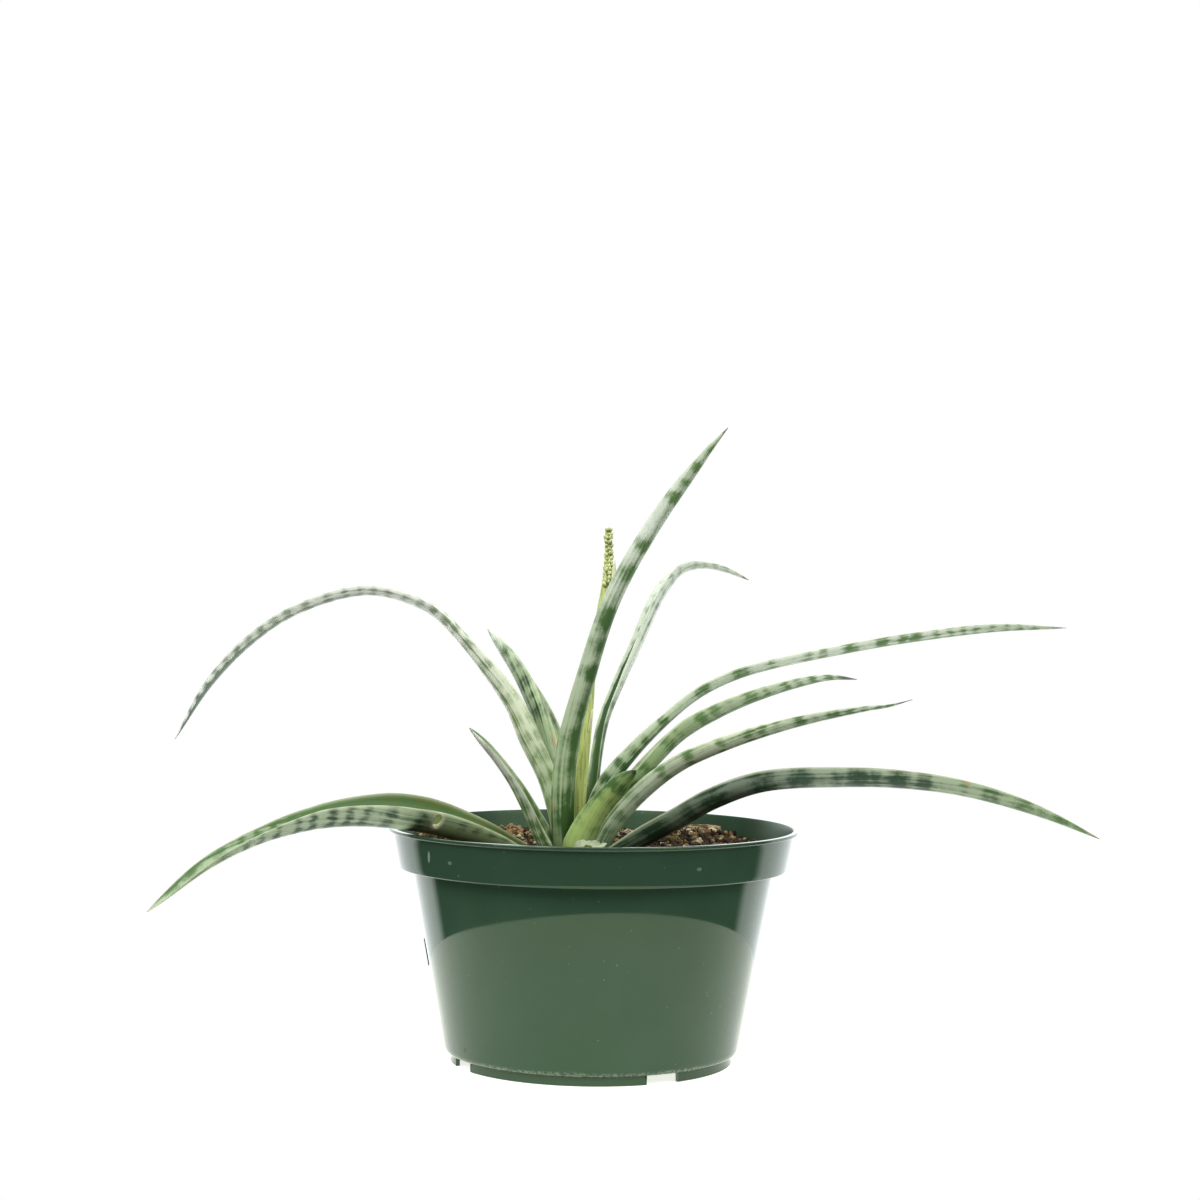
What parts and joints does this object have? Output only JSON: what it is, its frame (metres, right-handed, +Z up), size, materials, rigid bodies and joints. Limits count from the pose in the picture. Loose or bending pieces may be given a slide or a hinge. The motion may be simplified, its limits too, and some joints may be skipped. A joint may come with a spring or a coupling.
{
  "type": "potted snake plant",
  "caption": "Small potted snake plant with narrow silver-banded channelled leaves, one bud spike, bark soil and a round green plastic nursery pot.",
  "frame": {"origin": "middle of the underside of the box round the whole plant, on the surface that the pot stands on", "axes": "+Z up; +X along the longest extent, to the right of the picture; -Y towards the picture's viewer"},
  "size_m": [0.3452, 0.154, 0.2353],
  "materials": {
    "pot": "smooth dark green, slightly dusty",
    "label": "bare, matte",
    "soil": "rough bark and grit mix",
    "chip": "rough, dry",
    "crown": "fleshy, matte",
    "leaf": "waxy, silver-green with dark green cross bands",
    "stalk": "fleshy, satin yellow-green",
    "dry": "papery, dry"
  },
  "bodies": {
    "root": {"pot": "pot", "blank_label": "label", "soil": "soil", "crown": "crown", "bark_chip_left": "chip", "bark_chip_behind": "chip", "bark_chip_front": "chip", "bark_chip_right": "chip", "bark_chip_front_right": "chip", "wood_chip_flat": "chip", "leaf_short_right": "leaf", "leaf_short_left": "leaf", "leaf_tall_centre": "leaf", "leaf_low_right": "leaf", "leaf_low_left": "leaf", "leaf_lower_right": "leaf", "leaf_middle_right": "leaf", "leaf_upper_right": "leaf", "leaf_arching_left": "leaf", "leaf_behind_left": "leaf", "leaf_back_curled": "leaf", "flower_stalk": "stalk", "stalk_bract_upper": "dry", "stalk_bract_lower": "dry", "dry_sheath": "dry", "dry_scrap": "dry"}
  },
  "joints": []
}
